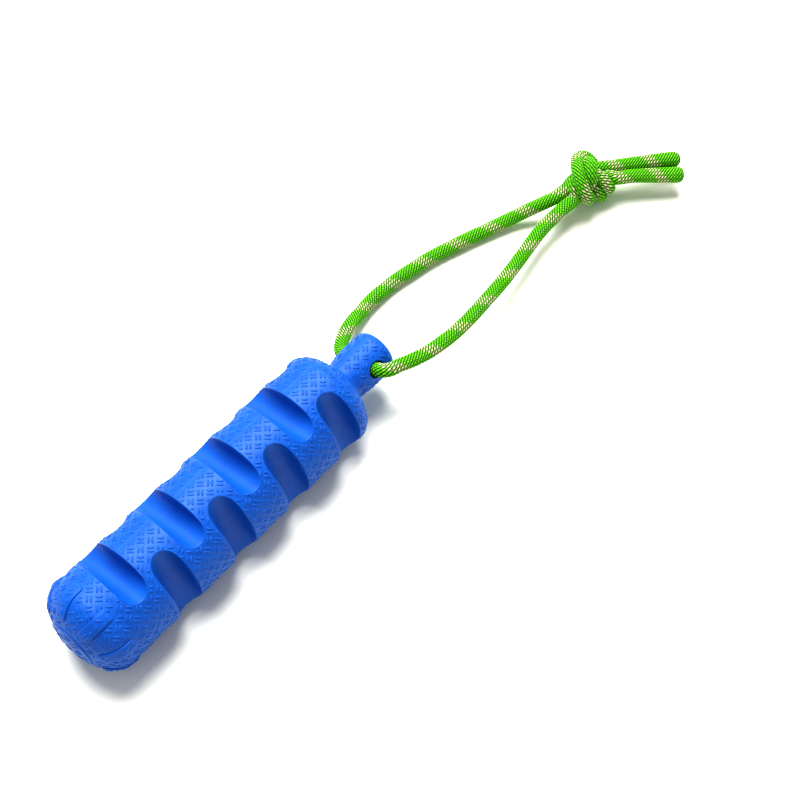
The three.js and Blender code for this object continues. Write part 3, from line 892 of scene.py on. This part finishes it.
def pad_distance(station, angle, radius):
    """Distance inside the outline of the nearest nose pad, negative outside it."""
    best = np.full(np.shape(radius), -np.inf)
    for i in range(PAD_COUNT):
        turn = angle - math.radians(PAD_ROLL + 360 * i / PAD_COUNT)
        side, forward = radius * np.sin(turn), radius * np.cos(turn)
        inner = np.maximum(PAD_INNER_RADIUS + PAD_HALF_WIDTH - forward, 0)
        outer = np.maximum(station - (PAD_REACH - PAD_HALF_WIDTH), 0)
        inside = PAD_HALF_WIDTH - np.maximum(np.hypot(inner, side), np.hypot(outer, side))
        best = np.where(forward > 0, np.maximum(best, inside), best)
    return best


def pad_relief(station, angle, radius):
    """How far the pads stand out of the nose at a place."""
    fade = ease((PAD_REACH - station) / PAD_FADE)
    return np.where(pad_distance(station, angle, radius) > 0, PAD_HEIGHT, 0.0) * fade


def line_strength(station):
    """How deep the parting line is: plain on the shoulder and neck, faint on the lands."""
    land = LAND_LINE_SHARE * ease((station - NOSE_DEPTH - LINE_START_GAP) / LINE_FADE)
    for centre in SCOOP_STATIONS[::2]:
        land *= ease((abs(station - centre) - SCOOP_HALF_WIDTH) / RIM_ROUND)
    start = ease((station - NECK_LINE_START) / LINE_FADE)
    end = ease((NECK_LINE_END - station) / LINE_END_FADE)
    return float(max(land, NECK_LINE_SHARE * start * end))


def build_body(material):
    """The moulding, all round from the bottom of its tip hole to the end of its neck."""
    rows = body_rows()
    groove = np.zeros(BODY_COLUMNS)
    for group in (0, 2):
        first = group * GROUP_COLUMNS + FILLET_COLUMNS + FLAT_COLUMNS // 2
        groove[first:first + len(LINE_DEPTHS)] = LINE_DEPTHS
    points = []
    for station, angle, radius in rows:
        depth = groove * line_strength(float(np.mean(station)))
        points.append(round_axis(station, angle, radius - depth))
    points += [[(TIP_HOLE_DEPTH - HALF_LENGTH, 0, AXIS_HEIGHT)], [(HALF_LENGTH, 0, AXIS_HEIGHT)]]
    faces = tube_faces(len(rows), BODY_COLUMNS, turned=True)
    faces += fan_faces(len(rows), BODY_COLUMNS, turned=True)
    return add_mesh("foam_body", np.vstack(points), faces, material)


# Half of the tool that cuts the cross bore: distance from the body's axis, and radius
BORE_PROFILE = ((11.4, BORE_RADIUS), (12.4, 5.0), (13.1, 5.4), (14.0, 5.9), (20.0, 5.9))
BORE_COLUMNS = 48


def cut_bore(body):
    """Cuts the cross bore, slightly flared at both mouths."""
    first, second = np.array([1.0, 0, 0]), np.cross(BORE_AXIS, (1.0, 0, 0))
    profile = mirrored(BORE_PROFILE)
    points = [
        ring_points(BORE_PLACE + BORE_AXIS * reach, radius, first, second, BORE_COLUMNS)
        for reach, radius in profile
    ]
    top = (len(profile) - 1) * BORE_COLUMNS
    faces = [tuple(range(BORE_COLUMNS))[::-1]]
    faces += tube_faces(len(profile), BORE_COLUMNS)
    faces.append(tuple(range(top, top + BORE_COLUMNS)))
    cutter = add_closed("bore_cutter", np.vstack(points), faces, body.data.materials[0])
    modifier = body.modifiers.new("bore", "BOOLEAN")
    modifier.operation = "DIFFERENCE"
    modifier.solver = "EXACT"
    modifier.object = cutter
    bpy.context.view_layer.objects.active = body
    bpy.ops.object.modifier_apply(modifier="bore")
    bpy.data.objects.remove(cutter)
    remade(body, drop_slivers, BODY_CREASE)


# The raised dashes

DASH_HALF_LENGTH = 2.0
DASH_HALF_WIDTH = 0.7
DASH_HEIGHT = 0.4
DASH_ROOT = -0.12
DASH_PITCH = 2.45
DASH_BOW = 0.3
CELL = 5.065
NECK_CELL = 5.2
NOSE_END = 11.5
SHOULDER_TOP = 197.5
DIAGONAL = math.sqrt(0.5)

# How far the dashes keep from other features
TIP_MARGIN = 0.05
ROOT_MARGIN = 0.3
CORNER_MARGIN = 0.4
END_MARGIN = 2.6
RIM_MARGIN = 0.5
PAD_OUTER_MARGIN = 0.6
PAD_INNER_MARGIN = 0.9
RING_MARGIN = 1.5
LINE_MARGIN = 0.8
BORE_MARGIN = 2.2
TIP_BARE_RADIUS = 5.4
TIP_BARE_END = 8.0

# A whole dash, or a short one at either end of its place: shift and length, as shares
DASH_TRIES = ((0, 1), (-0.45, 0.55), (0.45, 0.55))


class Outline:
    """The body's outline from the tip to the end of the neck, by arc length."""

    def __init__(self, points):
        self.station, self.radius = np.array(points).T
        gaps = np.hypot(np.diff(self.station), np.diff(self.radius))
        self.reach = np.concatenate([[0], np.cumsum(gaps)]) + self.radius[0]
        run, rise = np.gradient(self.station), np.gradient(self.radius)
        size = np.hypot(run, rise)
        self.out_station, self.out_radius = -rise / size, run / size

    def reach_at(self, station):
        return float(np.interp(station, self.station, self.reach))

    def reach_of_radius(self, radius):
        """Arc length at which the nose has a radius."""
        nose = self.station < NOSE_DEPTH
        return float(np.interp(radius, self.radius[nose], self.reach[nose]))

    def on(self, reach):
        values = (self.station, self.radius, self.out_station, self.out_radius)
        return [np.interp(reach, self.reach, v) for v in values]


class Wrap:
    """A flat pattern laid on part of the body: around a cylinder, or over an end."""

    def __init__(self, outline, low, high, cell, centre=None, flip=1):
        self.outline, self.cell, self.centre, self.flip = outline, cell, centre, flip
        self.low, self.high = outline.reach_at(low), outline.reach_at(high)
        self.radius = None if centre is not None else round_radius(cell)

    def polar(self, a, b):
        """Arc length along the outline and angle round the axis of a place in the pattern."""
        if self.centre is None:
            return a, b / self.radius
        return self.centre + self.flip * np.hypot(a, b), np.arctan2(b, a)


def round_radius(cell):
    """The radius of the round that a whole number of cells, laid aslant, goes round."""
    target = BODY_RADIUS if cell == CELL else NECK_RADIUS
    count = round(2 * math.pi * target * DIAGONAL / cell)
    return count * cell / DIAGONAL / (2 * math.pi)


def turn_from(angle, degrees):
    """The turn between each angle and a line straight through the axis."""
    return np.abs((angle - math.radians(degrees) + math.pi / 2) % math.pi - math.pi / 2)


def in_scoop(station, angle):
    """Which places on the round are inside a scoop, or nearer to its rim than the margin."""
    inside = np.zeros(np.shape(station), bool)
    for scoop, centre in enumerate(SCOOP_STATIONS):
        offset = np.abs(station - centre)
        bend = np.sqrt(np.maximum(SCOOP_HALF_WIDTH ** 2 - offset ** 2, 0))
        reach = np.arccos((SCOOP_BEND - bend) / BODY_RADIUS) + RIM_MARGIN / BODY_RADIUS
        turn = turn_from(angle, SCOOP_ROW_ROLL + 90 * (scoop % 2))
        inside |= (offset < SCOOP_HALF_WIDTH + RIM_MARGIN) & (turn < reach)
    return inside


def bare(wrap, a, b):
    """Which places in the pattern have to stay bare."""
    reach, angle = wrap.polar(a, b)
    station, radius, _, _ = wrap.outline.on(reach)
    out = (reach < wrap.low) | (reach > wrap.high)
    out |= in_scoop(station, angle)
    pads = pad_distance(station, angle, radius)
    out |= (pads > -PAD_OUTER_MARGIN) & (pads < PAD_INNER_MARGIN)
    ring = np.abs(radius - TIP_RING_RADIUS) < RING_MARGIN
    out |= (ring | (radius < TIP_BARE_RADIUS)) & (station < TIP_BARE_END)
    out |= (turn_from(angle, SCOOP_ROW_ROLL) * radius < LINE_MARGIN) & (station > NOSE_DEPTH)
    from_bore = np.hypot(turn_from(angle, BORE_ROLL) * radius, station - BORE_STATION)
    return out | (from_bore < BORE_RADIUS + BORE_MARGIN)


def lattice(wrap):
    """The cells of the pattern: middle, and which of two ways their dashes lie."""
    if wrap.centre is None:
        span_a, span_b = (wrap.low, wrap.high), (0, 2 * math.pi * wrap.radius)
    else:
        size = max(abs(wrap.high - wrap.centre), abs(wrap.low - wrap.centre)) + wrap.cell
        span_a = span_b = (-size, size)
    reach = int(max(map(abs, span_a + span_b)) * 2 / wrap.cell) + 2
    cells = []
    for i in range(-reach, reach):
        for j in range(-reach, reach):
            a = (i + j + 1) * wrap.cell * DIAGONAL
            b = (i - j) * wrap.cell * DIAGONAL
            if span_a[0] <= a < span_a[1] and span_b[0] <= b + TINY < span_b[1]:
                cells.append((a, b, 1 if (i + j) % 2 else -1))
    return cells


def dashes_of(wrap):
    """Middle, direction, half length and bow of each dash that finds room."""
    found = []
    for a, b, way in lattice(wrap):
        along = np.array([DIAGONAL, DIAGONAL * way])
        side = np.array([-DIAGONAL * way, DIAGONAL])
        for row in (-0.5, 0.5):
            middle = np.array([a, b]) + side * row * DASH_PITCH
            for shift, share in DASH_TRIES:
                centre = middle + along * shift * DASH_HALF_LENGTH
                half = DASH_HALF_LENGTH * share
                places = centre + along * np.linspace(-half, half, 5)[:, None]
                if not bare(wrap, places[:, 0], places[:, 1]).any():
                    found.append((centre, along, side, half, -2 * row * DASH_BOW * share ** 2))
                    break
    return found


# Across a dash: place and height. Along it: place, width and height. All are shares.
DASH_SECTION = ((-1.0, 0.0), (-0.66, 0.72), (0.0, 1.0), (0.66, 0.72), (1.0, 0.0))
DASH_STATIONS = (
    (-1.0, 0.3, 0.0), (-0.86, 0.72, 0.7), (-0.45, 1.0, 1.0), (0.0, 1.0, 1.0), (0.45, 1.0, 1.0),
    (0.86, 0.72, 0.7), (1.0, 0.3, 0.0),
)
FLOOR_GAP = 0.01


def raised(places, angle, height):
    """Points that stand out of the body's outline by a height, from places on the outline."""
    station, radius, out_station, out_radius = places
    return round_axis(station + out_station * height, angle, radius + out_radius * height, FLOOR_GAP)


def build_dashes(material, wraps):
    """All the raised dashes, as one object."""
    points, faces = [], []
    columns, rings = len(DASH_SECTION), len(DASH_STATIONS)
    for wrap in wraps:
        for centre, along, side, half, bow in dashes_of(wrap):
            first = len(points)
            flat, heights = [], []
            for t, width, height in DASH_STATIONS:
                spine = centre + along * half * t + side * bow * (1 - t * t)
                for across, rise in DASH_SECTION:
                    flat.append(spine + side * across * width * DASH_HALF_WIDTH)
                    heights.append(DASH_ROOT + (DASH_HEIGHT - DASH_ROOT) * rise * height)
            reach, angle = wrap.polar(*np.array(flat).T)
            places = wrap.outline.on(reach)
            heights = np.array(heights) + pad_relief(places[0], angle, places[1])
            points.extend(raised(places, angle, heights))
            last = first + (rings - 1) * columns
            faces += tube_faces(rings, columns, first)
            faces.append(tuple(range(first, first + columns))[::-1])
            faces.append(tuple(range(last, last + columns)))
    return add_closed("raised_dashes", points, faces, material)


# From a pad's root up its edge and over its top: distance inside its outline, and height
PAD_RINGS = (
    (3.3, PAD_ROOT), (1.6, PAD_ROOT), (-0.05, PAD_ROOT), (0.0, 0.35), (0.1, 0.62), (0.35, 0.8),
    (0.7, PAD_HEIGHT), (1.5, PAD_HEIGHT), (2.4, PAD_HEIGHT), (3.3, PAD_HEIGHT),
)
PAD_END_COLUMNS = 9
PAD_SIDE_COLUMNS = 18


def pad_ring(start, end, half):
    """Places round a pad's outline, drawn in from it: along the body's outline, and sideways."""
    turns = np.linspace(0, np.pi / 2, PAD_END_COLUMNS)
    right = [(end + half * math.cos(t), half * math.sin(t)) for t in turns]
    for i in range(1, PAD_SIDE_COLUMNS):
        right.append((end + (start - end) * i / PAD_SIDE_COLUMNS, half))
    right += [(start - half * math.cos(t), half * math.sin(t)) for t in turns[::-1]]
    return np.array(right + [(reach, -side) for reach, side in right[-2:0:-1]]).T


def cap_faces(first, size, turned):
    """Strips across a pad, from one of its sides to the other."""
    faces = []
    for i in range(size // 2):
        quad = (first + i, first + i + 1, first + size - 1 - i, first + (size - i) % size)
        quad = list(dict.fromkeys(quad))
        faces.append(quad[::-1] if turned else quad)
    return faces


def build_pads(outline, material):
    """The long raised pads round the nose, each with a crisp rounded edge."""
    start = outline.reach_of_radius(PAD_INNER_RADIUS + PAD_HALF_WIDTH)
    end = outline.reach_at(PAD_REACH - PAD_HALF_WIDTH)
    points, faces = [], []
    for pad in range(PAD_COUNT):
        first = len(points)
        middle = math.radians(PAD_ROLL + 360 * pad / PAD_COUNT)
        for inset, height in PAD_RINGS:
            reach, side = pad_ring(start, end, PAD_HALF_WIDTH - inset)
            fade = ease((end + PAD_HALF_WIDTH - reach) / PAD_FADE)
            places = outline.on(reach)
            angle = middle + np.arcsin(side / places[1])
            points.extend(raised(places, angle, PAD_ROOT + (height - PAD_ROOT) * fade))
        size, rings = len(reach), len(PAD_RINGS)
        faces += tube_faces(rings, size, first)
        faces += cap_faces(first, size, True) + cap_faces(first + (rings - 1) * size, size, False)
    return add_closed("nose_pads", points, faces, material)


# Half of the ring round the tip: place as a share of its half width, and height
RING_PROFILE = ((0.25, 0.55), (0.7, 0.45), (0.95, 0.2), (1.0, -0.25))
RING_COLUMNS = 144


def build_tip_ring(outline, material):
    """The low ring round the tip."""
    middle = outline.reach_of_radius(TIP_RING_RADIUS)
    angle = 2 * math.pi * np.arange(RING_COLUMNS) / RING_COLUMNS
    points = []
    for share, height in mirrored(RING_PROFILE):
        places = outline.on(middle + share * TIP_RING_WIDTH / 2)
        points.append(raised(places, angle, height))
    faces = tube_faces(len(points), RING_COLUMNS, closed=True)
    return add_closed("tip_ring", np.vstack(points), faces, material)


def body_outline():
    """The outline that the dashes lie on, straight across the scoops."""
    return Outline(nose_outline() + [(FIRST_SCOOP_STATION, BODY_RADIUS)] + neck_outline())


def pattern_wraps(outline):
    """The dashed pattern in four parts: over the nose, round the body, over the shoulder
    and round the neck."""
    corner = ROOT_STATION + NECK_ROOT_FILLET
    centre = outline.reach_at(ROOT_STATION) + NECK_ROOT_RADIUS
    return [
        Wrap(outline, TIP_MARGIN, NOSE_END, CELL, centre=0.0),
        Wrap(outline, NOSE_END, SHOULDER_TOP, CELL),
        Wrap(outline, SHOULDER_TOP, ROOT_STATION - ROOT_MARGIN, CELL, centre=centre, flip=-1),
        Wrap(outline, corner + CORNER_MARGIN, OVERALL_LENGTH - END_MARGIN, NECK_CELL),
    ]


# The stage

FLOOR_WARM = linear(250, 249, 240)
FLOOR_DEEP = linear(247, 246, 237)
FLOOR_REACH = 6000.0
FLOOR_DROP = 0.05
WORLD_STRENGTH = 0.42

# The key light, in metres and watts
KEY_PLACE = (0.62, 0.86, 2.2)
KEY_AIM = (0.08, 0, 0.02)
KEY_SIZE = 1.8
KEY_POWER = 106


def build_stage():
    """The pale floor, just under the bumper."""
    nodes = Nodes("studio_floor")
    shade = nodes.mix(nodes.noise(*FLOOR_SHADE), FLOOR_WARM, FLOOR_DEEP)
    nodes.look(Base_Color=shade, Roughness=0.9, Specular_IOR_Level=0.1)
    corners = [(FLOOR_REACH * x, FLOOR_REACH * y, -FLOOR_DROP) for x, y in (
        (-1, -1), (1, -1), (1, 1), (-1, 1),
    )]
    add_mesh("floor", corners, [(0, 1, 2, 3)], nodes.material)


def light_scene():
    """A broad soft key light, high up beyond the neck, and an even white surround."""
    scene = bpy.context.scene
    world = scene.world or bpy.data.worlds.new("world")
    scene.world = world
    world.use_nodes = True
    background = world.node_tree.nodes["Background"]
    background.inputs["Color"].default_value = (1, 1, 1, 1)
    background.inputs["Strength"].default_value = WORLD_STRENGTH
    data = bpy.data.lights.new("key", "AREA")
    data.shape = "DISK"
    data.size = KEY_SIZE
    data.energy = KEY_POWER
    light = bpy.data.objects.new("key", data)
    light.location = KEY_PLACE
    aim = Vector(KEY_AIM) - Vector(KEY_PLACE)
    light.rotation_euler = aim.to_track_quat("-Z", "Y").to_euler()
    scene.collection.objects.link(light)
    scene.view_settings.view_transform = "Standard"
    scene.view_settings.look = "High Contrast"


place_camera()
ropes = build_rope()
melted = melted_material()
for letter, rope in ropes.items():
    seal = build_seal(letter, rope, melted)
    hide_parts("end_seal_" + letter)
    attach(seal, "rope")
    piece = rope["piece"]
    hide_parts("rope_loop", "knot_strand_" + letter, "rope_tail_" + letter)
    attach(piece, "rope")

rubber = rubber_material()
body = build_body(rubber)
cut_bore(body)
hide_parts("bumper_body")
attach(body, "bumper")
outline = body_outline()
dashes = build_dashes(rubber, pattern_wraps(outline))
pads = build_pads(outline, rubber)
ring = build_tip_ring(outline, rubber)
for piece in (dashes, pads, ring):
    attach(piece, "bumper")

build_stage()
light_scene()
